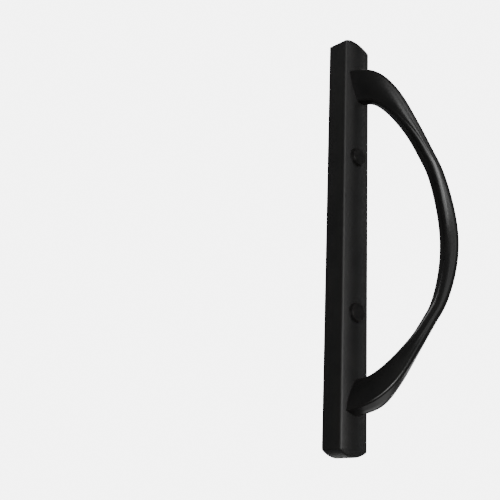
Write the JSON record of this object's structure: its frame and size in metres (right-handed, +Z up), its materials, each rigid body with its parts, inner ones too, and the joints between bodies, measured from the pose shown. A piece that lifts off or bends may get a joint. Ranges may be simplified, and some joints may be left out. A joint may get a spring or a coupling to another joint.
{
  "type": "sliding patio door handle",
  "caption": "Long cast bar that lies on a sliding door, with a leaning bow-shaped pull, capped mounting screws and a seat for a latch hub.",
  "frame": {"origin": "middle of the bar's open back, in the plane that lies on the door, between the two mounting screws", "axes": "+Z up along the bar, -Y out of the door towards the hand, +X the side that the bow leans to"},
  "size_m": [0.0652, 0.0616, 0.266],
  "materials": {
    "bar_finish": "satin black powder coat",
    "bow_finish": "satin black powder coat, smoother in the hand",
    "cap_plastic": "satin black moulded nylon",
    "plated_steel": "zinc plated"
  },
  "bodies": {
    "root": {"base_bar": "bar_finish", "foot_screw_bottom_inner": "plated_steel", "foot_screw_bottom_outer": "plated_steel", "foot_screw_top_inner": "plated_steel", "foot_screw_top_outer": "plated_steel", "lock_washer_bottom_inner": "plated_steel", "lock_washer_bottom_outer": "plated_steel", "lock_washer_top_inner": "plated_steel", "lock_washer_top_outer": "plated_steel", "mounting_screw_bottom": "plated_steel", "mounting_screw_top": "plated_steel", "pull_bow": "bow_finish", "screw_cap_bottom": "cap_plastic", "screw_cap_top": "cap_plastic"}
  },
  "joints": []
}
